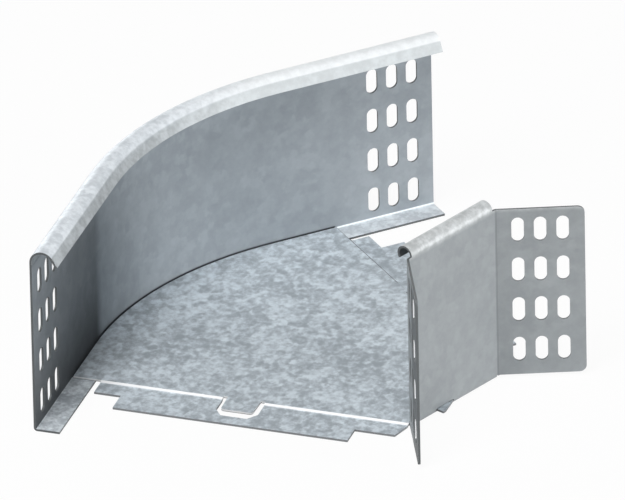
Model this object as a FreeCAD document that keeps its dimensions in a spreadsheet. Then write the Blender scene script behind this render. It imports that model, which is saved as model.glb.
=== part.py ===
import FreeCAD, Part
import math
import os

import Sketcher

# A 45 degree bend for a perforated cable tray, folded from three pieces of galvanised sheet:
# an outer side wall with a rolled rim, a floor plate with a stepped joint strip at each end,
# and an inner corner bracket with two slotted wings.
#
# Frame: +Y is the direction of the near run, +X points to its inner side and +Z is up.
# The origin is on the near run's centre line, on the base plane, in the middle of the near joint,
# where the joint strip carries the next tray's floor.

# Driving dimensions in millimetres and degrees.
DIMENSIONS = (
    ("tray_width", 200.0, "outer face to outer face of the two sides"),
    ("sheet", 1.25, "thickness of the steel sheet"),
    ("fold_radius", 0.8, "inside radius of the folds along the base"),
    ("bend_angle", 45.0, "turn from the near run to the far run"),
    ("bend_radius", 200.0, "outer face of the outer wall"),
    ("leg_length", 102.0, "straight end of the outer wall"),
    ("wall_height", 112.8, "base to the top of the outer rim"),
    ("flange_width", 15.0, "foot flange, from the outer face of its side"),
    ("rim_radius", 7.2, "outside radius of the outer rim"),
    ("rim_turn", 150.0, "how far the outer rim is rolled"),
    ("rim_lip", 5.5, "straight lip after the roll"),
    ("corner_cut", 40.0, "inner corner of the runs to each fold of the bracket"),
    ("bracket_height", 110.8, "base to the top of the bracket rim"),
    ("bracket_rim_radius", 5.2, "outside radius of the bracket rim"),
    ("bracket_rim_turn", 205.0, "how far the bracket rim is rolled"),
    ("bracket_rim_lip", 1.0, "straight lip after the bracket roll"),
    ("rim_end_gap", 2.5, "fold of a wing to the end of the bracket roll"),
    ("wing_angle", 46.0, "turn from the bracket panel to each wing"),
    ("wing_length", 49.5, "fold to the free edge of a wing"),
    ("wing_foot", 1.8, "base to the lower edge of a wing"),
    ("wing_corner", 4.0, "rounding of the free corners of a wing"),
    ("wing_fold_radius", 1.5, "inside radius of the upright folds"),
    ("slot_width", 7.0, "slotted holes"),
    ("slot_height", 15.0, "slotted holes, end to end"),
    ("slot_pitch_along", 12.5, "column to column"),
    ("slot_pitch_up", 25.0, "row to row"),
    ("slot_columns", 3, "columns of slots at each joint"),
    ("slot_rows", 4, "rows of slots at each joint"),
    ("wall_slot_edge", 12.6, "wall end to its first column"),
    ("wall_slot_foot", 13.5, "base to the lowest row in the wall"),
    ("wing_slot_edge", 12.2, "fold to the first column in a wing"),
    ("wing_slot_foot", 17.7, "base to the lowest row in a wing"),
    ("floor_clear", 0.25, "floor plate to the folds of the sides"),
    ("step_run", 1.8, "length of the step down to a joint strip"),
    ("strip_gap", 3.5, "foot flange to the joint strip"),
    ("strip_reach", 26.4, "floor edge to the free edge of the joint strip"),
    ("outer_reach", 12.2, "the same at its narrow end beside the outer wall"),
    ("inner_reach", 13.3, "the same at its narrow end beside the bracket"),
    ("outer_notch", 15.6, "length of the narrow end beside the outer wall"),
    ("inner_notch", 29.0, "inner wall line to the full width of the strip"),
    ("strip_inner_clear", 1.7, "inner wall line to the root of the strip"),
    ("strip_taper", 4.0, "slant of the strip's inner end"),
    ("joint_depth", 20.6, "floor edge to the middle of the joint"),
    ("tongue_root", 19.2, "width of the tongue at the floor edge"),
    ("tongue_tip", 18.4, "width of the tongue at its tip"),
    ("tongue_length", 13.4, "floor edge to the tip of the tongue"),
    ("tongue_corner", 1.2, "bevel of the corners of the tongue"),
    ("tongue_relief", 1.2, "relief cut into the floor edge beside the tongue"),
    ("tongue_offset", 2.1, "centre line to the middle of the tongue"),
    ("window_side", 2.6, "tongue to the side of its window"),
    ("window_end", 4.9, "tongue to the end of its window"),
    ("window_bevel", 4.5, "bevel of the window's end corners, across the tongue"),
    ("window_slant", 6.0, "bevel of the window's end corners, along the tongue"),
    ("tab_start", 21.5, "near fold of the bracket to the locking tab"),
    ("tab_root", 14.0, "length of the locking tab along the panel"),
    ("tab_tip", 2.0, "length of its tip"),
    ("tab_reach", 4.7, "how far the tab stands out of the panel"),
    ("tab_clear", 0.3, "slit around the locking tab"),
)

# Places worked out from the driving dimensions.
LAYOUT = (
    ("half_bend", "dims.bend_angle / 2", "the mid plane lies this far round the bend"),
    ("fold_outer", "dims.fold_radius + dims.sheet", "outside radius of the folds along the base"),
    ("inner_x", "dims.tray_width / 2", "outer face of the inner side, near run"),
    ("outer_x", "-dims.tray_width / 2", "outer face of the outer wall, near run"),
    ("floor_edge_y", "dims.joint_depth", "near edge of the floor plate"),
    ("window_half", "dims.tongue_root / 2 + dims.window_side", "half of the window, side to side"),
    ("window_end_y", "floor_edge_y - dims.tongue_length - dims.window_end", "end of the window"),
    ("tongue_tip_y", "floor_edge_y - dims.tongue_length", "end of the tongue"),
    ("inner_corner_y", "floor_edge_y + dims.corner_cut", "crossing of the inner wall lines"),
    ("outer_corner_y", "inner_corner_y + dims.tray_width * tan(half_bend * 1 deg)",
     "crossing of the outer wall lines"),
    ("bend_start_y", "outer_corner_y - dims.bend_radius * tan(half_bend * 1 deg)",
     "end of the outer wall's near leg"),
    ("bend_centre_x", "dims.bend_radius - dims.tray_width / 2", "axis of the bend"),
    ("panel_x", "dims.corner_cut * sin(half_bend * 1 deg)", "inner corner to the panel's outer face"),
    ("panel_half", "dims.corner_cut * cos(half_bend * 1 deg)", "half of the panel, fold to fold"),
    ("wing_setback", "dims.wing_fold_radius * tan(dims.wing_angle / 2 * 1 deg)",
     "fold corner to the end of its arc"),
    ("wing_top", "dims.bracket_height - dims.bracket_rim_radius", "the wings end where the roll starts"),
    ("floor_inset", "fold_outer + dims.floor_clear", "outer face of a side to the floor plate"),
)

doc = FreeCAD.newDocument("cable_tray_bend")


def make_sheet(name, rows, formula):
    """A spreadsheet with one named cell per row: the note in column A, the value in column B."""
    sheet = doc.addObject("Spreadsheet::Sheet", name)
    for number, (alias, value, note) in enumerate(rows, start=1):
        sheet.set("A%d" % number, note)
        sheet.set("B%d" % number, "=" + value if formula else str(value))
        sheet.setAlias("B%d" % number, alias)
        if formula:
            sheet.recompute()
    doc.recompute()
    return sheet


dims = make_sheet("dims", DIMENSIONS, False)
layout = make_sheet("layout", LAYOUT, True)


def value(expression):
    """The present value of an expression on the two sheets."""
    result = layout.evalExpression(expression)
    return float(getattr(result, "Value", result))


def origin_plane(body, role):
    """One of the body's own three base planes."""
    return [plane for plane in body.Origin.OriginFeatures if plane.Role == role][0]


def place(feature, body, role, offset, turn=None):
    """Attach a sketch or plane to a base plane, moved by (x, y, z) and turned about the upright axis.

    offset holds expressions in the base plane's own axes; turn is (axis, expression of the angle)."""
    feature.AttachmentSupport = (origin_plane(body, role), [""])
    feature.MapMode = "FlatFace"
    start = FreeCAD.Vector(*[value(part) for part in offset])
    axis, angle = turn or ((0, 1, 0), "0")
    turned = FreeCAD.Rotation(FreeCAD.Vector(*axis), value(angle))
    feature.AttachmentOffset = FreeCAD.Placement(start, turned)
    for letter, part in zip("xyz", offset):
        feature.setExpression("AttachmentOffset.Base." + letter, part)
    if turn:
        feature.setExpression("AttachmentOffset.Rotation.Angle", angle)


def new_sketch(body, name, role, offset=("0", "0", "0"), turn=None):
    sketch = body.newObject("Sketcher::SketchObject", name)
    place(sketch, body, role, offset, turn)
    return sketch


def bind(sketch, kind, members, expression):
    """Add a dimension to the sketch and tie it to its expression."""
    index = sketch.addConstraint(Sketcher.Constraint(kind, *members, value(expression)))
    sketch.setExpression("Constraints[%d]" % index, expression)


def line_to(x, y):
    return (x, y, None, 0, False)


def arc_to(x, y, radius, side, long_way=False):
    """An arc that ends at (x, y); side is 1 where it turns left and -1 where it turns right."""
    return (x, y, radius, side, long_way)


def arc_between(start, end, radius, side, long_way):
    chord = end - start
    half = chord.Length / 2
    rise = math.sqrt(max(radius * radius - half * half, 0.0))
    left = FreeCAD.Vector(-chord.y, chord.x, 0).normalize()
    centre = (start + end) * 0.5 + left * (rise * side * (-1 if long_way else 1))
    first, last = (start, end) if side > 0 else (end, start)
    angles = [math.atan2(point.y - centre.y, point.x - centre.x) for point in (first, last)]
    circle = Part.Circle(centre, FreeCAD.Vector(0, 0, 1), radius)
    return Part.ArcOfCircle(circle, angles[0], angles[1])


def draw_outline(sketch, moves):
    """A closed outline through the ends of the moves, the last of which leads to the first."""
    corners = [FreeCAD.Vector(value(move[0]), value(move[1]), 0) for move in moves]
    ends = []
    for index, (x, y, radius, side, long_way) in enumerate(moves):
        start, end = corners[index - 1], corners[index]
        if radius is None:
            number = sketch.addGeometry(Part.LineSegment(start, end), False)
            ends.append((number, 1, 2))
        else:
            number = sketch.addGeometry(arc_between(start, end, value(radius), side, long_way), False)
            ends.append((number, 1, 2) if side > 0 else (number, 2, 1))
    for index, (x, y, radius, side, long_way) in enumerate(moves):
        number, first, last = ends[index]
        following = ends[(index + 1) % len(ends)]
        sketch.addConstraint(Sketcher.Constraint("Coincident", number, last, following[0], following[1]))
        bind(sketch, "DistanceX", (-1, 1, number, last), x)
        bind(sketch, "DistanceY", (-1, 1, number, last), y)
        if radius is not None:
            bind(sketch, "Radius", (number,), radius)


def draw_slot(sketch, x, y):
    """An upright slot with round ends, its middle at (x, y)."""
    middle_x, middle_y = value(x), value(y)
    radius = value("dims.slot_width / 2")
    reach = value("(dims.slot_height - dims.slot_width) / 2")
    normal = FreeCAD.Vector(0, 0, 1)
    top = Part.Circle(FreeCAD.Vector(middle_x, middle_y + reach, 0), normal, radius)
    foot = Part.Circle(FreeCAD.Vector(middle_x, middle_y - reach, 0), normal, radius)
    arcs = [
        sketch.addGeometry(Part.ArcOfCircle(top, 0, math.pi), False),
        sketch.addGeometry(Part.ArcOfCircle(foot, math.pi, 2 * math.pi), False),
    ]
    corners = [(side * radius + middle_x, end * reach + middle_y) for side in (-1, 1) for end in (1, -1)]
    points = [FreeCAD.Vector(across, up, 0) for across, up in corners]
    sides = [
        sketch.addGeometry(Part.LineSegment(points[0], points[1]), False),
        sketch.addGeometry(Part.LineSegment(points[3], points[2]), False),
    ]
    sketch.addConstraint(Sketcher.Constraint("Tangent", arcs[0], 2, sides[0], 1))
    sketch.addConstraint(Sketcher.Constraint("Tangent", sides[0], 2, arcs[1], 1))
    sketch.addConstraint(Sketcher.Constraint("Tangent", arcs[1], 2, sides[1], 1))
    sketch.addConstraint(Sketcher.Constraint("Tangent", sides[1], 2, arcs[0], 1))
    sketch.addConstraint(Sketcher.Constraint("Vertical", sides[0]))
    bind(sketch, "Radius", (arcs[0],), "dims.slot_width / 2")
    bind(sketch, "DistanceX", (-1, 1, arcs[1], 3), x)
    bind(sketch, "DistanceY", (-1, 1, arcs[1], 3), "%s - (dims.slot_height - dims.slot_width) / 2" % y)
    bind(sketch, "DistanceY", (arcs[1], 3, arcs[0], 3), "dims.slot_height - dims.slot_width")


def new_feature(body, kind, name, profile=None, **settings):
    """A feature of the body; a setting written as text is an expression."""
    feature = body.newObject("PartDesign::" + kind, name)
    if profile is not None:
        feature.Profile = profile
        profile.Visibility = False
    for setting, wanted in settings.items():
        if isinstance(wanted, str):
            feature.setExpression(setting, wanted)
        else:
            setattr(feature, setting, wanted)
    body.Tip = feature
    doc.recompute()
    return feature


def mirror_features(body, name, originals, plane):
    feature = body.newObject("PartDesign::Mirrored", name)
    feature.Originals = originals
    feature.MirrorPlane = (plane, [""])
    body.Tip = feature
    doc.recompute()
    return feature


def slot_field(body, name, sketch, plane):
    """Cut one slot, repeat it in columns and rows, and mirror the field to the other end."""
    cut = new_feature(body, "Pocket", name + "_first", sketch, Length="4 * dims.sheet", Midplane=True)
    field = body.newObject("PartDesign::MultiTransform", name)
    field.Originals = [cut]
    steps = []
    for step, axis, count in (("along", "H_Axis", "slot_columns"), ("up", "V_Axis", "slot_rows")):
        pattern = body.newObject("PartDesign::LinearPattern", "%s_%s" % (name, step))
        pattern.Direction = (sketch, [axis])
        pattern.setExpression("Length", "dims.slot_pitch_%s * (dims.%s - 1)" % (step, count))
        pattern.setExpression("Occurrences", "dims." + count)
        steps.append(pattern)
    other_end = body.newObject("PartDesign::Mirrored", name + "_other_end")
    other_end.MirrorPlane = (plane, [""])
    field.Transformations = steps + [other_end]
    body.Tip = field
    doc.recompute()
    return field


def folded_section(sketch, face, inward, height, radius, turn, lip):
    """Section of a side: foot flange, upright sheet, rolled rim and lip.

    face is the place of the sheet's outer face and inward is +1 or -1, towards the tray."""
    def at(across):
        return "%s %s (%s)" % (face, "+" if inward > 0 else "-", across)

    end_angle = "((180 - %s) * 1 deg)" % turn
    inner = "(%s - dims.sheet)" % radius
    roll_z = "(%s - %s)" % (height, radius)
    lip_x = "%s + %s * cos%s + %s * sin%s" % (radius, radius, end_angle, lip, end_angle)
    lip_z = "%s + %s * sin%s - %s * cos%s" % (roll_z, radius, end_angle, lip, end_angle)
    long_way = value(turn) > 180
    draw_outline(sketch, [
        line_to(at("dims.flange_width"), "0"),
        line_to(at("layout.fold_outer"), "0"),
        arc_to(at("0"), "layout.fold_outer", "layout.fold_outer", -inward),
        line_to(at("0"), roll_z),
        arc_to(at("%s + %s * cos%s" % (radius, radius, end_angle)),
               "%s + %s * sin%s" % (roll_z, radius, end_angle), radius, -inward, long_way),
        line_to(at(lip_x), lip_z),
        line_to(at("%s - dims.sheet * cos%s" % (lip_x, end_angle)),
                "%s - dims.sheet * sin%s" % (lip_z, end_angle)),
        line_to(at("%s + %s * cos%s" % (radius, inner, end_angle)),
                "%s + %s * sin%s" % (roll_z, inner, end_angle)),
        arc_to(at("dims.sheet"), roll_z, inner, inward, long_way),
        line_to(at("dims.sheet"), "layout.fold_outer"),
        arc_to(at("layout.fold_outer"), "dims.sheet", "dims.fold_radius", inward),
        line_to(at("dims.flange_width"), "dims.sheet"),
    ])


def make_outer_side_wall():
    """The outer side: one folded section, a straight leg at each end and an arc between them."""
    body = doc.addObject("PartDesign::Body", "outer_side_wall")
    section = new_sketch(body, "wall_section", "XZ_Plane",
                         ("layout.bend_centre_x", "0", "-layout.bend_start_y"))
    folded_section(section, "-dims.bend_radius", 1, "dims.wall_height", "dims.rim_radius",
                   "dims.rim_turn", "dims.rim_lip")
    doc.recompute()
    new_feature(body, "Revolution", "wall_bend", section, ReferenceAxis=(section, ["V_Axis"]),
                Angle="dims.bend_angle", Reversed=True)
    leg = new_feature(body, "Pad", "near_leg", section, Length="dims.leg_length")
    mid_plane = make_mid_plane(body, "wall_mid_plane")
    mirror_features(body, "far_leg", [leg], mid_plane)
    slot = new_sketch(body, "wall_slot", "YZ_Plane", ("0", "0", "layout.outer_x + dims.sheet / 2"))
    draw_slot(slot, "layout.bend_start_y - dims.leg_length + dims.wall_slot_edge", "dims.wall_slot_foot")
    doc.recompute()
    slot_field(body, "wall_slots", slot, mid_plane)
    return body


def make_mid_plane(body, name):
    """The upright plane through the inner and outer corners, which mirrors one end to the other."""
    plane = body.newObject("PartDesign::Plane", name)
    place(plane, body, "XZ_Plane", ("layout.inner_x", "0", "-layout.inner_corner_y"),
          ((0, -1, 0), "layout.half_bend"))
    doc.recompute()
    return plane


def make_floor_plate():
    """The floor: a plate on the foot flanges, stepped down at each end into a joint strip."""
    body = doc.addObject("PartDesign::Body", "floor_plate")
    outer = "layout.outer_x + layout.floor_inset"
    outer_radius = "(dims.bend_radius - layout.floor_inset)"
    panel_in = "(layout.panel_x - layout.floor_inset)"
    sin_half, cos_half = "sin(layout.half_bend * 1 deg)", "cos(layout.half_bend * 1 deg)"
    sin_bend, cos_bend = "sin(dims.bend_angle * 1 deg)", "cos(dims.bend_angle * 1 deg)"

    def across_run(from_centre, along_far):
        """A point of the far run: its distance from the inner wall line, and along the far run."""
        return ("layout.inner_x - %s * %s + %s * %s" % (from_centre, cos_bend, along_far, sin_bend),
                "layout.inner_corner_y + %s * %s + %s * %s" % (from_centre, sin_bend, along_far, cos_bend))

    def along_panel(outward, forward):
        """A point beside the bracket panel: outward from the panel's line, forward from mid panel."""
        return ("layout.inner_x + %s * %s + %s * %s" % (outward, cos_half, forward, sin_half),
                "layout.inner_corner_y - %s * %s + %s * %s" % (outward, sin_half, forward, cos_half))

    bend_end = ("layout.bend_centre_x - %s * %s" % (outer_radius, cos_bend),
                "layout.bend_start_y + %s * %s" % (outer_radius, sin_bend))
    # The panel's line meets the floor's edges this far from mid panel.
    reach = "(layout.panel_half - (%s - layout.panel_x) * tan(layout.half_bend * 1 deg))" % panel_in
    tab_start = "(dims.tab_start - layout.panel_half)"
    tab_out = "(layout.panel_x + dims.tab_reach)"
    outline = new_sketch(body, "floor_outline", "XY_Plane", ("0", "0", "dims.sheet"))
    draw_outline(outline, [
        line_to(outer, "layout.floor_edge_y"),
        line_to(outer, "layout.bend_start_y"),
        arc_to(bend_end[0], bend_end[1], outer_radius, -1),
        line_to(*across_run("(dims.tray_width - layout.floor_inset)", "dims.corner_cut")),
        line_to(*along_panel(panel_in, reach)),
        line_to(*along_panel(panel_in, "(%s + dims.tab_root)" % tab_start)),
        line_to(*along_panel("layout.panel_x", "(%s + dims.tab_root)" % tab_start)),
        line_to(*along_panel(tab_out, "(%s + dims.tab_tip)" % tab_start)),
        line_to(*along_panel(tab_out, tab_start)),
        line_to(*along_panel(panel_in, tab_start)),
        line_to(*along_panel(panel_in, "(-%s)" % reach)),
    ])
    new_feature(body, "Pad", "floor_sheet", outline, Length="dims.sheet")

    # The step keeps the sheet's thickness, so its corners are set back by half its turn.
    slope = "(dims.sheet / dims.step_run)"
    setback = "(dims.sheet * tan(atan(%s) / 2))" % slope
    strip_x = "layout.outer_x + dims.flange_width + dims.strip_gap"
    strip_end = "layout.inner_x - dims.strip_inner_clear"
    step = new_sketch(body, "strip_section", "YZ_Plane", ("0", "0", strip_x))
    draw_outline(step, [
        line_to("layout.floor_edge_y + dims.tongue_relief", "2 * dims.sheet"),
        line_to("layout.floor_edge_y", "2 * dims.sheet"),
        line_to("layout.floor_edge_y - dims.step_run", "dims.sheet"),
        line_to("layout.floor_edge_y - dims.strip_reach", "dims.sheet"),
        line_to("layout.floor_edge_y - dims.strip_reach", "0"),
        line_to("layout.floor_edge_y - dims.step_run + %s" % setback, "0"),
        line_to("layout.floor_edge_y + %s" % setback, "dims.sheet"),
        line_to("layout.floor_edge_y + dims.tongue_relief", "dims.sheet"),
    ])
    strip = new_feature(body, "Pad", "joint_strip", step, Length="%s - (%s)" % (strip_end, strip_x))

    # Away from the strip: its two narrow ends and the window around the tongue.
    outer_y = "layout.floor_edge_y - dims.outer_reach"
    inner_y = "layout.floor_edge_y - dims.inner_reach"
    beyond_y = "layout.floor_edge_y - 2 * dims.strip_reach"
    middle = "dims.tongue_offset"
    trims = (
        [(strip_x + " - dims.strip_gap / 2", outer_y), (strip_x + " + dims.outer_notch", outer_y),
         (strip_x + " + dims.outer_notch", beyond_y), (strip_x + " - dims.strip_gap / 2", beyond_y)],
        [("layout.inner_x - dims.inner_notch", inner_y),
         (strip_end + " - dims.strip_taper", inner_y),
         (strip_end, "layout.floor_edge_y"),
         ("layout.inner_x + dims.strip_gap", "layout.floor_edge_y"),
         ("layout.inner_x + dims.strip_gap", beyond_y),
         ("layout.inner_x - dims.inner_notch", beyond_y)],
        [(middle + " - layout.window_half", "layout.floor_edge_y + dims.tongue_relief"),
         (middle + " + layout.window_half", "layout.floor_edge_y + dims.tongue_relief"),
         (middle + " + layout.window_half", "layout.window_end_y + dims.window_slant"),
         (middle + " + layout.window_half - dims.window_bevel", "layout.window_end_y"),
         (middle + " - layout.window_half + dims.window_bevel", "layout.window_end_y"),
         (middle + " - layout.window_half", "layout.window_end_y + dims.window_slant")],
    )
    trim = new_sketch(body, "strip_trims", "XY_Plane", ("0", "0", "2 * dims.sheet"))
    for corners in trims:
        draw_outline(trim, [line_to(*corner) for corner in corners])
    trimmed = new_feature(body, "Pocket", "strip_trim", trim, Length="3 * dims.sheet")

    tongue = new_sketch(body, "tongue_outline", "XY_Plane", ("0", "0", "dims.sheet"))
    draw_outline(tongue, [
        line_to(middle + " - dims.tongue_root / 2", "layout.floor_edge_y + 2 * dims.tongue_relief"),
        line_to(middle + " - dims.tongue_root / 2", "layout.floor_edge_y"),
        line_to(middle + " - dims.tongue_tip / 2", "layout.tongue_tip_y + dims.tongue_corner"),
        line_to(middle + " - dims.tongue_tip / 2 + dims.tongue_corner", "layout.tongue_tip_y"),
        line_to(middle + " + dims.tongue_tip / 2 - dims.tongue_corner", "layout.tongue_tip_y"),
        line_to(middle + " + dims.tongue_tip / 2", "layout.tongue_tip_y + dims.tongue_corner"),
        line_to(middle + " + dims.tongue_root / 2", "layout.floor_edge_y"),
        line_to(middle + " + dims.tongue_root / 2", "layout.floor_edge_y + 2 * dims.tongue_relief"),
    ])
    tongue_pad = new_feature(body, "Pad", "tongue", tongue, Length="dims.sheet")
    mid_plane = make_mid_plane(body, "floor_mid_plane")
    mirror_features(body, "far_joint", [strip, trimmed, tongue_pad], mid_plane)
    return body


def make_inner_corner_bracket():
    """The inner side: a rimmed panel across the corner, with a slotted wing folded out at each end.

    The body's own frame has its origin at the inner corner and +X straight out of the panel."""
    body = doc.addObject("PartDesign::Body", "inner_corner_bracket")
    panel_end = "(layout.panel_half - layout.wing_setback)"
    section = new_sketch(body, "panel_section", "XZ_Plane")
    folded_section(section, "layout.panel_x", -1, "dims.bracket_height", "dims.bracket_rim_radius",
                   "dims.bracket_rim_turn", "dims.bracket_rim_lip")
    doc.recompute()
    new_feature(body, "Pad", "panel", section, Length="2 * %s" % panel_end, Midplane=True)

    # The near wing in plan: the arc of its fold, then the flat sheet.
    sine, cosine = "sin(dims.wing_angle * 1 deg)", "cos(dims.wing_angle * 1 deg)"
    wide = "(dims.wing_fold_radius + dims.sheet)"
    flat = "(dims.wing_length - layout.wing_setback)"
    centre_x = "layout.panel_x + dims.wing_fold_radius"

    def wing_point(radius, along):
        return ("%s - %s * %s + %s * %s" % (centre_x, radius, cosine, along, sine),
                "-%s - %s * %s - %s * %s" % (panel_end, radius, sine, along, cosine))

    plan = new_sketch(body, "wing_plan", "XY_Plane", ("0", "0", "dims.wing_foot"))
    draw_outline(plan, [
        line_to("layout.panel_x", "-" + panel_end),
        arc_to(*wing_point("dims.wing_fold_radius", "0"), "dims.wing_fold_radius", 1),
        line_to(*wing_point("dims.wing_fold_radius", flat)),
        line_to(*wing_point(wide, flat)),
        line_to(*wing_point(wide, "0")),
        arc_to("layout.panel_x - dims.sheet", "-" + panel_end, wide, -1),
    ])
    wing = new_feature(body, "Pad", "near_wing", plan, Length="layout.wing_top - dims.wing_foot")
    middle = origin_plane(body, "XZ_Plane")
    mirror_features(body, "far_wing", [wing], middle)

    # The roll and its lip end a little before the folds of the wings.
    roll_inside = "layout.panel_x - 3 * dims.bracket_rim_radius"
    roll_end = new_sketch(body, "roll_end_outline", "XZ_Plane", ("0", "0", panel_end))
    draw_outline(roll_end, [
        line_to("layout.panel_x + dims.sheet", "layout.wing_top"),
        line_to("layout.panel_x + dims.sheet", "dims.bracket_height + dims.sheet"),
        line_to(roll_inside, "dims.bracket_height + dims.sheet"),
        line_to(roll_inside, "layout.wing_top - dims.bracket_rim_radius"),
        line_to("layout.panel_x - dims.sheet", "layout.wing_top - dims.bracket_rim_radius"),
        line_to("layout.panel_x - dims.sheet", "layout.wing_top"),
    ])
    shortened = new_feature(body, "Pocket", "roll_end", roll_end,
                            Length="dims.rim_end_gap - layout.wing_setback")
    mirror_features(body, "far_roll_end", [shortened], middle)

    slot = new_sketch(body, "wing_slot", "XZ_Plane", ("layout.panel_x", "0", "layout.panel_half"),
                      ((0, -1, 0), "90 - dims.wing_angle"))
    draw_slot(slot, "dims.wing_slot_edge", "dims.wing_slot_foot")
    doc.recompute()
    slot_field(body, "wing_slots", slot, middle)

    # The floor's locking tab passes out through a slit in the base fold.
    slit = new_sketch(body, "tab_slit", "XY_Plane", ("0", "0", "dims.sheet"))
    tab_start = "dims.tab_start - layout.panel_half"
    slit_start = "%s - dims.tab_clear" % tab_start
    slit_end = "%s + dims.tab_root + dims.tab_clear" % tab_start
    draw_outline(slit, [
        line_to("layout.panel_x - layout.fold_outer", slit_start),
        line_to("layout.panel_x + dims.sheet", slit_start),
        line_to("layout.panel_x + dims.sheet", slit_end),
        line_to("layout.panel_x - layout.fold_outer", slit_end),
    ])
    new_feature(body, "Pocket", "slit", slit, Length="dims.sheet + dims.tab_clear", Reversed=True)
    round_wing_corners(body)
    turned = FreeCAD.Rotation(FreeCAD.Vector(0, 0, -1), value("layout.half_bend"))
    corner = FreeCAD.Vector(value("layout.inner_x"), value("layout.inner_corner_y"), 0)
    body.Placement = FreeCAD.Placement(corner, turned)
    body.setExpression("Placement.Base.x", "layout.inner_x")
    body.setExpression("Placement.Base.y", "layout.inner_corner_y")
    body.setExpression("Placement.Rotation.Angle", "layout.half_bend")
    doc.recompute()
    return body


def round_wing_corners(body):
    """Round the four free corners, whose short edges cross the sheet at the ends of the wings."""
    square = body.Tip
    tip_y = max(vertex.Y for vertex in square.Shape.Vertexes) - 2 * value("dims.sheet")
    corners = []
    for number, edge in enumerate(square.Shape.Edges, start=1):
        ends = [vertex.Point for vertex in edge.Vertexes]
        if len(ends) != 2 or abs(ends[0].z - ends[1].z) > 1e-6:
            continue
        at_tip = all(abs(point.y) > tip_y for point in ends)
        if at_tip and abs(edge.Length - value("dims.sheet")) < 1e-6:
            corners.append("Edge%d" % number)
    rounding = body.newObject("PartDesign::Fillet", "wing_corners")
    rounding.Base = (square, corners)
    rounding.setExpression("Radius", "dims.wing_corner")
    body.Tip = rounding
    doc.recompute()


def check_and_write(bodies):
    """Stop on any failed object or bad shape, then write each piece to its own file."""
    for item in doc.Objects:
        if "Invalid" in item.State or "Error" in item.State:
            raise RuntimeError("%s did not compute: %s" % (item.Name, item.State))
    os.makedirs("parts", exist_ok=True)
    for body in bodies:
        shape = body.Shape
        if shape.isNull() or not shape.isValid() or len(shape.Solids) != 1:
            raise RuntimeError("%s is not one valid solid" % body.Label)
    for body in bodies:
        box = body.Shape.optimalBoundingBox()
        body.Shape.exportStep("parts/%s.step" % body.Label)
        print("%s: %.0f mm3, x %.2f to %.2f, y %.2f to %.2f, z %.2f to %.2f" % (
            body.Label, body.Shape.Volume, box.XMin, box.XMax, box.YMin, box.YMax, box.ZMin, box.ZMax))


pieces = [make_outer_side_wall(), make_floor_plate(), make_inner_corner_bracket()]
check_and_write(pieces)
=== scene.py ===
import math

import bmesh
import bpy
import numpy as np
from mathutils import Matrix, Vector
from mathutils.bvhtree import BVHTree


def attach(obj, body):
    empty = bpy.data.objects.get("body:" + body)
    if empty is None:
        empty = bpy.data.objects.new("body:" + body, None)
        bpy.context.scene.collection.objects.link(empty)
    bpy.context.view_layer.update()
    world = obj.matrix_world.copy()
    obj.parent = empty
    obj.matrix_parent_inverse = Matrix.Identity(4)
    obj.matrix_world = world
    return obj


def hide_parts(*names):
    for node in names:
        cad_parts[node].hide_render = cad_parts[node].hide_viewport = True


# A 45 degree cable tray bend in galvanised sheet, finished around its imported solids.
# Lengths are metres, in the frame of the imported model.

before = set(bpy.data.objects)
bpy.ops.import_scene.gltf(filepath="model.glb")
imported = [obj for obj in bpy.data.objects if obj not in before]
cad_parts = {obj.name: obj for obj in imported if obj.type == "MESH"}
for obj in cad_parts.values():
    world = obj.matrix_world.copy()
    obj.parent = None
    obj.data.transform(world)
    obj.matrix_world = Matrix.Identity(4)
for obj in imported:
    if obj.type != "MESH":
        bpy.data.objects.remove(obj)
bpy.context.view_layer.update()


class Wire:
    # wraps one socket of a node tree, so that sums and products of wires add their Math nodes
    def __init__(self, shader, socket):
        self.shader = shader
        self.socket = socket

    def maths(self, operation, other, flipped=False):
        pair = (other, self) if flipped else (self, other)
        return self.shader.node("ShaderNodeMath", {"operation": operation}, pair)

    def __add__(self, other):
        return self.maths("ADD", other)

    def __mul__(self, other):
        return self.maths("MULTIPLY", other)

    def __sub__(self, other):
        return self.maths("SUBTRACT", other)

    def __rsub__(self, other):
        return self.maths("SUBTRACT", other, flipped=True)

    __radd__ = __add__
    __rmul__ = __mul__


class Shader:
    # the empty node tree of a material or of the world
    def __init__(self, owner):
        self.owner = owner
        owner.use_nodes = True
        self.tree = owner.node_tree
        self.tree.nodes.clear()

    def node(self, kind, settings, inputs, output=0):
        # settings are made first; inputs are a tuple in order, or a dictionary by socket name
        made = self.tree.nodes.new(kind)
        for name, wanted in settings.items():
            setattr(made, name, wanted)
        named = inputs.items() if isinstance(inputs, dict) else enumerate(inputs)
        for key, given in named:
            if isinstance(given, Wire):
                self.tree.links.new(given.socket, made.inputs[key])
            elif given is not None:
                made.inputs[key].default_value = given
        return Wire(self, made.outputs[output])

    def finish(self, surface, output="ShaderNodeOutputMaterial"):
        out = self.tree.nodes.new(output)
        self.tree.links.new(surface.socket, out.inputs["Surface"])
        return self.owner


# The pattern that the three sheets share. Scales are waves per metre; pairs are the start and
# the end of a smooth step; fades are the lengths over which drawn lines end.
zincPattern = {
    "grainTurn": 10.0,
    "wander": {"Scale": 210.0, "Detail": 2.0}, "wanderReach": 0.008, "softness": 0.9,
    "splinters": {"Scale": 300.0, "Detail": 4.0, "Roughness": 0.65},
    "clouds": {"Scale": 20.0, "Detail": 3.0, "Roughness": 0.5},
    "spread": (0.15, 0.85),
    "mottleCrystal": 0.25, "mottleSpread": (0.30, 0.70),
    "farAcross": (-0.09, -0.03), "facing": (0.3, 0.7),
    "lineFade": 0.001, "creaseFade": 0.006,
    "relief": {"Strength": 0.2, "Distance": 0.00005},
}

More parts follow.
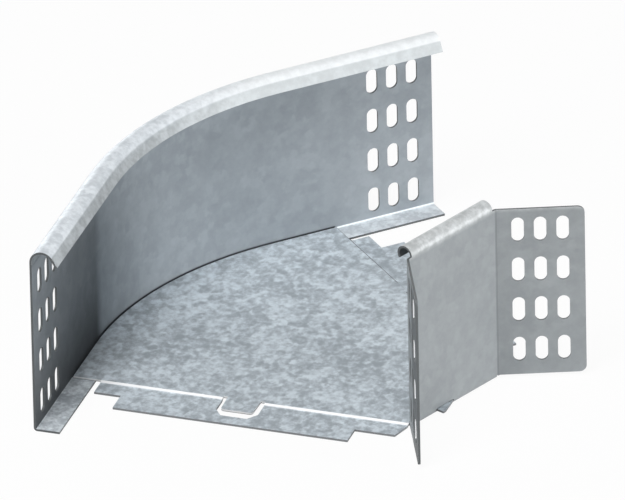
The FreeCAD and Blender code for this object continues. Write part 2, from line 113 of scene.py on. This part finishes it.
# What a user would change in the zinc of each piece. Tones are linear.
# zones: bands of heights with painted light and shade, each in a tone of its own. rise and fall
# are where a band fades in and
#   out, and heights outside the part leave that side open. farShare of the far tone, a painted
#   light, is mixed in towards the far end of the wall.
# shade: the side that faces the given way is darker before a boundary along the near leg.
# edge is the tone of sheared faces (on the bracket also painted shade), bright that of a painted
# highlight above brightRise.
outerWallZinc = {
    "dark": (0.266, 0.298, 0.325), "light": (0.408, 0.447, 0.480),
    "metallic": 0.25, "sheen": 0.15, "roughness": 0.50, "roughnessSwing": 0.05,
    "flake": 0.0060, "grain": (1.0, 1.0, 1.0), "tilt": 0.02,
    "spangle": 0.20, "splinters": 0.20, "clouds": 0.40,
    "zones": {
        # painted light: the foot flange, which faces up, is lighter than the wall
        "foot flange": {"rise": (-2.0, -1.0), "fall": (0.0013, 0.0016),
                        "dark": (0.420, 0.460, 0.500), "light": (0.860, 0.920, 0.960),
                        "far": (0.90, 0.95, 0.98), "farShare": 0.30},
        # painted shade: the rim lip is darker
        "rim lip": {"rise": (0.1030, 0.1040), "fall": (0.1092, 0.1104),
                    "dark": (0.330, 0.354, 0.370), "light": (0.480, 0.515, 0.535),
                    "far": (0.80, 0.84, 0.85), "farShare": 0.45},
        # painted highlight: the rolled rim is lighter
        "rolled rim": {"rise": (0.1092, 0.1104), "fall": (1.0, 2.0),
                       "dark": (0.550, 0.590, 0.625), "light": (0.760, 0.805, 0.845),
                       "far": (0.93, 0.95, 0.95), "farShare": 0.60},
    },
    "shade": {"before": (0.0640, 0.0750), "facing": (1.0, 0.0, 0.0),
              "tone": (0.045, 0.050, 0.054),
              "foot": 0.92, "upper": 0.42, "upperFrom": 0.060},
    # painted shade in the groove along the floor plate, and a painted highlight on the flange
    # beyond
    "seamShadeAndShine": {"rise": (0.0012, 0.0014), "fall": (0.0026, 0.0034),
             "tone": (0.070, 0.075, 0.080),
             "nearEnd": 0.0206, "farEnd": 0.1536, "farWay": (0.7071, 0.7071, 0.0),
             "shine": {"rise": (0.00130, 0.00145), "fall": (0.0019, 0.0023)},
             "shineTone": (0.86, 0.91, 0.94)},
    "edge": (0.13, 0.14, 0.145),
}
floorZinc = {
    "dark": (0.368, 0.410, 0.446), "light": (0.730, 0.805, 0.862),
    "metallic": 0.12, "sheen": 0.15, "roughness": 0.55, "roughnessSwing": 0.08,
    "flake": 0.0042, "grain": (1.0, 0.85, 1.0), "tilt": 0.04,
    "spangle": 0.42, "splinters": 1.15, "clouds": 0.50,
    "zones": {},
    # painted shade: a fine dark line along the far step
    "creaseShade": {"rise": (0.1532, 0.1535), "fall": (0.1539, 0.1542),
               "tone": (0.140, 0.150, 0.160), "gap": (-0.0980, -0.0447),
               "farWay": (0.7071, 0.7071, 0.0), "acrossWay": (0.7071, -0.7071, 0.0)},
    # bright: painted highlight on the slope of the near step and the sides of its tongue
    "edge": (0.26, 0.27, 0.28), "bright": (0.96, 0.97, 0.98), "brightRise": (0.0014, 0.0018),
}
bracketZinc = {
    "dark": (0.292, 0.314, 0.328), "light": (0.385, 0.410, 0.424),
    "metallic": 0.25, "sheen": 0.15, "roughness": 0.50, "roughnessSwing": 0.04,
    "flake": 0.0060, "grain": (1.0, 1.0, 1.0), "tilt": 0.02,
    "spangle": 0.24, "splinters": 0.34, "clouds": 0.35,
    "zones": {
        # painted highlight: the rolled rim is lighter
        "rolled rim": {"rise": (0.1030, 0.1070), "fall": (1.0, 2.0),
                       "dark": (0.440, 0.460, 0.465), "light": (0.640, 0.665, 0.675)},
    },
    "shade": {"before": (-0.0010, 0.0002), "facing": (-1.0, 0.0, 0.0),
              "tone": (0.050, 0.054, 0.056),
              "foot": 0.68, "upper": 0.68, "upperFrom": 0.100},
    # edge also paints shade in the roll and on the folds; bright is a painted highlight on the
    # slot walls
    "edge": (0.14, 0.15, 0.155), "bright": (0.90, 0.91, 0.92), "brightRise": (-2.0, -1.0),
}


def blend(shader, share, first, second):
    # the first colour where share is 0, the second where it is 1, mixed in between
    def colour(given):
        return given if isinstance(given, Wire) else (*given, 1)
    mixed = {0: share, 6: colour(first), 7: colour(second)}
    return shader.node("ShaderNodeMix", {"data_type": "RGBA"}, mixed, 2)


def ramp(shader, share, start, end):
    # 0 up to start, 1 from end, on a smooth step between
    return shader.node("ShaderNodeMapRange", {"interpolation_type": "SMOOTHSTEP"},
                       (share, start, end, 0.0, 1.0))


def band(shader, height, zone):
    # 1 between the two heights at which a zone fades in and out
    return ramp(shader, height, *zone["rise"]) * (1 - ramp(shader, height, *zone["fall"]))


def part(shader, vector, index):
    # one of the three numbers of a vector
    return shader.node("ShaderNodeSeparateXYZ", {}, (vector,), index)


def reach(shader, vector, way):
    # how far a vector goes along a way: their dot product
    return shader.node("ShaderNodeVectorMath", {"operation": "DOT_PRODUCT"},
                       (vector, way), "Value")


def shadeShare(shader, near, height, upright, shade):
    # share = (1 before the boundary) x (1 on the side that faces the given way)
    #         x (a share that goes from the one at the foot to the upper one)
    facing = ramp(shader, reach(shader, upright, shade["facing"]), *zincPattern["facing"])
    side = (1 - ramp(shader, near, *shade["before"])) * facing
    raised = ramp(shader, height, 0.0, shade["upperFrom"])
    return side * (raised * (shade["upper"] - shade["foot"]) + shade["foot"])


def zoned(shader, colour, mottle, across, height, zone):
    # painted light and shade by height: zone tone = dark to light by the mottle, then farShare
    # of
    #  the far tone, a painted light, towards the far end; the colour is that tone within the
    #  zone's band of heights
    tone = blend(shader, ramp(shader, mottle, *zincPattern["mottleSpread"]),
                 zone["dark"], zone["light"])
    if "far" in zone:
        share = ramp(shader, across, *zincPattern["farAcross"]) * zone["farShare"]
        tone = blend(shader, share, tone, zone["far"])
    return blend(shader, band(shader, height, zone), colour, tone)


def paintSeamShadeAndShine(shader, colour, place, near, height, seamShadeAndShine):
    # painted shade in the groove between the wall and the floor plate, from the near step to the
    # far one,
    #  and a painted highlight, a line of shine, on the flange beyond
    fade = zincPattern["lineFade"]
    start, end = seamShadeAndShine["nearEnd"], seamShadeAndShine["farEnd"]
    far = reach(shader, place, seamShadeAndShine["farWay"])
    within = ramp(shader, near, start, start + fade) * (1 - ramp(shader, far, end - fade, end))
    colour = blend(shader, band(shader, height, seamShadeAndShine) * within, colour, seamShadeAndShine["tone"])
    beyond = ramp(shader, far, end, end + fade)
    return blend(shader, band(shader, height, seamShadeAndShine["shine"]) * beyond, colour, seamShadeAndShine["shineTone"])


def paintCreaseShade(shader, colour, place, creaseShade):
    # the far step shows as a fine line of painted shade, which fades out over the gap at its
    # tongue
    far = reach(shader, place, creaseShade["farWay"])
    aside = reach(shader, place, creaseShade["acrossWay"])
    first, last = creaseShade["gap"]
    gap = (ramp(shader, aside, first, first + zincPattern["creaseFade"])
           * (1 - ramp(shader, aside, last - zincPattern["lineFade"], last)))
    return blend(shader, band(shader, far, creaseShade) * (1 - gap), colour, creaseShade["tone"])


def galvanised(name, zinc):
    # tone = 0.5 + spangle x (crystal - 0.5) + splinters x (splinters - 0.5)
    #        + clouds x (clouds - 0.5), spread from dark to light.
    # Crystals are soft cells bent by noise, and each leans its normal a little, so that it
    # flashes as the view turns.
    shader = Shader(bpy.data.materials.new(name))
    place = shader.node("ShaderNodeTexCoord", {}, (), "Object")
    upright = shader.node("ShaderNodeNewGeometry", {}, (), "Normal")
    across, near, height = [part(shader, place, index) for index in range(3)]
    laid = shader.node("ShaderNodeMapping", {}, {
        "Vector": place, "Rotation": (0.0, 0.0, math.radians(zincPattern["grainTurn"])),
        "Scale": zinc["grain"]})
    wander = shader.node("ShaderNodeTexNoise", {},
                         {"Vector": laid, **zincPattern["wander"]}, "Color")
    bent = shader.node("ShaderNodeVectorMath", {"operation": "MULTIPLY_ADD"},
                       (wander, (zincPattern["wanderReach"],) * 3, laid))
    crystals = shader.node("ShaderNodeTexVoronoi", {"feature": "SMOOTH_F1"}, {
        "Vector": bent, "Scale": 1 / zinc["flake"],
        "Smoothness": zincPattern["softness"]}, "Color")
    crystal = shader.node("ShaderNodeSeparateColor", {}, (crystals,), 0)
    splinters = shader.node("ShaderNodeTexNoise", {},
                            {"Vector": laid, **zincPattern["splinters"]}, "Fac")
    clouds = shader.node("ShaderNodeTexNoise", {},
                         {"Vector": place, **zincPattern["clouds"]}, "Fac")

    weights = zinc["spangle"] + zinc["splinters"] + zinc["clouds"]
    tone = (crystal * zinc["spangle"] + splinters * zinc["splinters"]
            + clouds * zinc["clouds"] + (0.5 - weights / 2))
    colour = blend(shader, ramp(shader, tone, *zincPattern["spread"]),
                   zinc["dark"], zinc["light"])
    metallic = zinc["metallic"]
    if "shade" in zinc:
        share = shadeShare(shader, near, height, upright, zinc["shade"])
        colour = blend(shader, share, colour, zinc["shade"]["tone"])
        metallic = share * (-zinc["metallic"]) + zinc["metallic"]
    mottle = (crystal * zincPattern["mottleCrystal"]
              + splinters * (1 - zincPattern["mottleCrystal"]))
    # painted light and shade in bands of heights
    for zone in zinc["zones"].values():
        colour = zoned(shader, colour, mottle, across, height, zone)
    # painted shade in the groove at the floor plate and a painted highlight beyond it
    if "seamShadeAndShine" in zinc:
        colour = paintSeamShadeAndShine(shader, colour, place, near, height, zinc["seamShadeAndShine"])
    # painted shade along the far step
    if "creaseShade" in zinc:
        colour = paintCreaseShade(shader, colour, place, zinc["creaseShade"])
    # edge tone on sheared faces, and painted shade in the bracket's roll and folds
    cutAndShade = shader.node("ShaderNodeAttribute", {"attribute_name": "cutFaceAndShade"}, (), "Fac")
    colour = blend(shader, cutAndShade, colour, zinc["edge"])
    # painted highlight on the near step and on the near wing's slot walls
    if "bright" in zinc:
        highlightShare = shader.node("ShaderNodeAttribute", {"attribute_name": "brightFace"}, (), "Fac")
        share = highlightShare * ramp(shader, height, *zinc["brightRise"])
        colour = blend(shader, share, colour, zinc["bright"])

    swing, tilt = zinc["roughnessSwing"], zinc["tilt"]
    roughness = crystal * (-swing) + (zinc["roughness"] + swing / 2)
    lean = shader.node("ShaderNodeVectorMath", {"operation": "MULTIPLY_ADD"},
                       (crystals, (tilt,) * 3, (-tilt / 2,) * 3))
    leaning = shader.node("ShaderNodeVectorMath", {"operation": "ADD"}, (upright, lean))
    facet = shader.node("ShaderNodeVectorMath", {"operation": "NORMALIZE"}, (leaning,))
    relief = shader.node("ShaderNodeBump", {},
                         {**zincPattern["relief"], "Height": splinters, "Normal": facet})
    surface = shader.node("ShaderNodeBsdfPrincipled", {}, {
        "Base Color": colour, "Metallic": metallic, "Roughness": roughness,
        "Specular IOR Level": zinc["sheen"], "Normal": relief})
    return shader.finish(surface)


# How a sheet's faces are told apart. Smoothing is in degrees; a face with more than
# thickest metal behind it is a sheared one.
sheetLook = {"smoothBelow": 30.0, "weld": 0.000002, "thickest": 0.0018,
             "rayStart": 0.00002, "rayMissed": 1.0}
floorFaces = {"slopeLevel": 0.95, "slopeAbove": 0.0013, "slopeBefore": 0.0224}
bracketFaces = {"wingSlots": (-0.0240, -0.0010), "slotLevel": 0.5,
                "panelNormal": (0.9239, -0.3827, 0.0), "foldTurn": (0.735, 0.9985),
                # shares of the edge tone that paint shade on the upright folds and inside the
                # roll
                "foldLevel": 0.02, "foldShadeShare": 0.35,
                "rollAbove": 0.1000, "rollAcross": 0.0104, "rollShadeShare": 0.85}


def clearWay(tree, centre, way):
    # the distance from a face to the next one that a ray strikes
    struck = tree.ray_cast(centre + way * sheetLook["rayStart"], way)
    return struck[3] if struck[3] is not None else sheetLook["rayMissed"]


def wallMarks(tree, centre, normal, sheared):
    # marks = (share of the edge tone with its painted shade, share of the painted highlight
    # tone); this one has sheared faces only
    return sheared, 0.0


def floorMarks(tree, centre, normal, sheared):
    # bright: a painted highlight on the slope of the near step and the sides of its tongue
    bright = (normal.z < floorFaces["slopeLevel"] and centre.z > floorFaces["slopeAbove"]
              and centre.y < floorFaces["slopeBefore"])
    return sheared, float(bright)


def bracketMarks(tree, centre, normal, sheared):
    # edge tone: all on sheared faces; painted shade: a share inside the roll (its far side is
    # near) and a
    #  smaller one on the upright folds (normal between the panel's and a wing's);
    #  bright: a painted highlight on the walls of the near wing's slots
    least, most = bracketFaces["foldTurn"]
    turn = abs(normal.dot(Vector(bracketFaces["panelNormal"])))
    folded = abs(normal.z) < bracketFaces["foldLevel"] and least < turn < most
    inRoll = (centre.z > bracketFaces["rollAbove"]
              and clearWay(tree, centre, normal) < bracketFaces["rollAcross"])
    first, last = bracketFaces["wingSlots"]
    bright = sheared and first < centre.y < last and abs(normal.z) < bracketFaces["slotLevel"]
    edgeAndShadeShare = max(sheared, bracketFaces["foldShadeShare"] * folded, bracketFaces["rollShadeShare"] * inRoll)
    return edgeAndShadeShare, float(bright)


def finishedSheet(node, name, material, marksOf):
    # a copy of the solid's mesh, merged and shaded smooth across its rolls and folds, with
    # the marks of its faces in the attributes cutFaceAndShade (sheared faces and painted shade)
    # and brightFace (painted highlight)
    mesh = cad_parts[node].data.copy()
    mesh.name = name
    worked = bmesh.new()
    worked.from_mesh(mesh)
    bmesh.ops.remove_doubles(worked, verts=worked.verts, dist=sheetLook["weld"])
    bmesh.ops.recalc_face_normals(worked, faces=worked.faces)
    worked.normal_update()
    tree = BVHTree.FromBMesh(worked)
    limit = math.radians(sheetLook["smoothBelow"])
    marks = []
    for face in worked.faces:
        face.smooth = True
        face.material_index = 0
        centre = face.calc_center_median()
        sheared = float(clearWay(tree, centre, -face.normal) > sheetLook["thickest"])
        marks.append(marksOf(tree, centre, face.normal, sheared))
    for edge in worked.edges:
        edge.smooth = len(edge.link_faces) == 2 and edge.calc_face_angle(0.0) < limit
    worked.to_mesh(mesh)
    worked.free()
    marks = np.array(marks, np.float32)
    for attribute, column in (("cutFaceAndShade", 0), ("brightFace", 1)):
        field = mesh.attributes.new(attribute, "FLOAT", "FACE")
        field.data.foreach_set("value", np.ascontiguousarray(marks[:, column]))
    mesh.materials.clear()
    mesh.materials.append(material)
    piece = bpy.data.objects.new(name, mesh)
    bpy.context.scene.collection.objects.link(piece)
    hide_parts(node)
    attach(piece, "root")
    counts = (len(marks), (marks[:, 0] == 1).sum(), (marks[:, 1] == 1).sum())
    print("%s: %d faces, %d sheared, %d bright" % (name, *counts))
    return piece


outerWall = finishedSheet("outer_side_wall", "outer_wall_sheet",
                          galvanised("outer_wall_zinc", outerWallZinc), wallMarks)
floorPlate = finishedSheet("floor_plate", "floor_sheet",
                           galvanised("floor_zinc", floorZinc), floorMarks)
cornerBracket = finishedSheet("inner_corner_bracket", "bracket_sheet",
                              galvanised("bracket_zinc", bracketZinc), bracketMarks)


# Each lamp is a place, a width and a power, and looks at the middle of the object.
studioLook = {
    "paper": (0.86, 0.86, 0.86), "paperHalf": 40.0, "paperBelow": 0.0002, "shadowShare": 0.05,
    "ambient": 0.0,
    "lamps": {
        "right": ((3.016, 0.120, 0.328), 0.8, 54.0),
        "front left": ((-0.758, -1.850, 2.161), 1.2, 30.0),
        "front": ((0.030, -1.601, 2.497), 1.2, 16.0),
        "top": ((0.030, -0.656, 2.938), 1.2, 33.0),
        "back": ((-2.028, 2.178, 0.766), 1.2, 22.0),
    },
    "middle": (0.03, 0.12, 0.04),
}
# Roll is in degrees; lens and sensor are millimetres.
cameraLook = {
    "place": (3.552210, -10.397658, 5.967221), "aim": (0.008743, 0.125407, 0.043985),
    "roll": 1.1613, "lens": 1300.0, "sensor": 36.0, "seesTo": 100.0,
}


def seenDirectly(shader):
    # 1 for a ray from the camera or from a mirror-like or clear surface
    rays = [shader.node("ShaderNodeLightPath", {}, (), kind)
            for kind in ("Is Camera Ray", "Is Glossy Ray", "Is Transmission Ray")]
    return shader.node("ShaderNodeClamp", {}, (rays[0] + rays[1] + rays[2], 0.0, 1.0))


def paperFloor():
    # white where it is seen, apart from a share that takes the object's shadow
    shader = Shader(bpy.data.materials.new("studio_paper"))
    matt = shader.node("ShaderNodeBsdfDiffuse", {}, {"Color": (*studioLook["paper"], 1)})
    lit = shader.node("ShaderNodeEmission", {}, {"Color": (1, 1, 1, 1), "Strength": 1.0})
    share = seenDirectly(shader) * (1 - studioLook["shadowShare"])
    both = shader.node("ShaderNodeMixShader", {}, (share, matt, lit))
    half, below = studioLook["paperHalf"], studioLook["paperBelow"]
    corners = [(-half, -half, -below), (half, -half, -below),
               (half, half, -below), (-half, half, -below)]
    mesh = bpy.data.meshes.new("studio_floor")
    mesh.from_pydata(corners, [], [(0, 1, 2, 3)])
    mesh.materials.append(shader.finish(both))
    floor = bpy.data.objects.new("studio_floor", mesh)
    bpy.context.scene.collection.objects.link(floor)


def paleWorld():
    # strength = 1 where it is seen directly, and the ambient share elsewhere
    world = bpy.data.worlds.new("studio_air")
    bpy.context.scene.world = world
    shader = Shader(world)
    strength = seenDirectly(shader) * (1 - studioLook["ambient"]) + studioLook["ambient"]
    air = shader.node("ShaderNodeBackground", {}, {"Color": (1, 1, 1, 1), "Strength": strength})
    shader.finish(air, "ShaderNodeOutputWorld")


def turnedTowards(place, aim):
    # the turn that points an object's -Z from place to aim, with its +Y up
    return (Vector(aim) - Vector(place)).to_track_quat("-Z", "Y")


def hangLamps():
    # round lamps at their places, each turned towards the middle of the object
    for name, (place, width, power) in studioLook["lamps"].items():
        lamp = bpy.data.lights.new(name, "AREA")
        lamp.shape = "DISK"
        lamp.size = width
        lamp.energy = power
        holder = bpy.data.objects.new(name, lamp)
        holder.location = place
        holder.rotation_euler = turnedTowards(place, studioLook["middle"]).to_euler()
        bpy.context.scene.collection.objects.link(holder)


def setCamera():
    # the camera that was fitted to the photo: placed, turned to its aim, then rolled
    lens = bpy.data.cameras.new("camera")
    lens.sensor_width = cameraLook["sensor"]
    lens.lens = cameraLook["lens"]
    lens.clip_end = cameraLook["seesTo"]
    camera = bpy.data.objects.new("camera", lens)
    bpy.context.scene.collection.objects.link(camera)
    turn = turnedTowards(cameraLook["place"], cameraLook["aim"]).to_matrix().to_4x4()
    rolled = turn @ Matrix.Rotation(math.radians(-cameraLook["roll"]), 4, "Z")
    camera.matrix_world = Matrix.Translation(cameraLook["place"]) @ rolled
    bpy.context.scene.camera = camera


paperFloor()
paleWorld()
hangLamps()
setCamera()
bpy.context.scene.view_settings.view_transform = "Standard"
print("studio, lamps and camera are set")
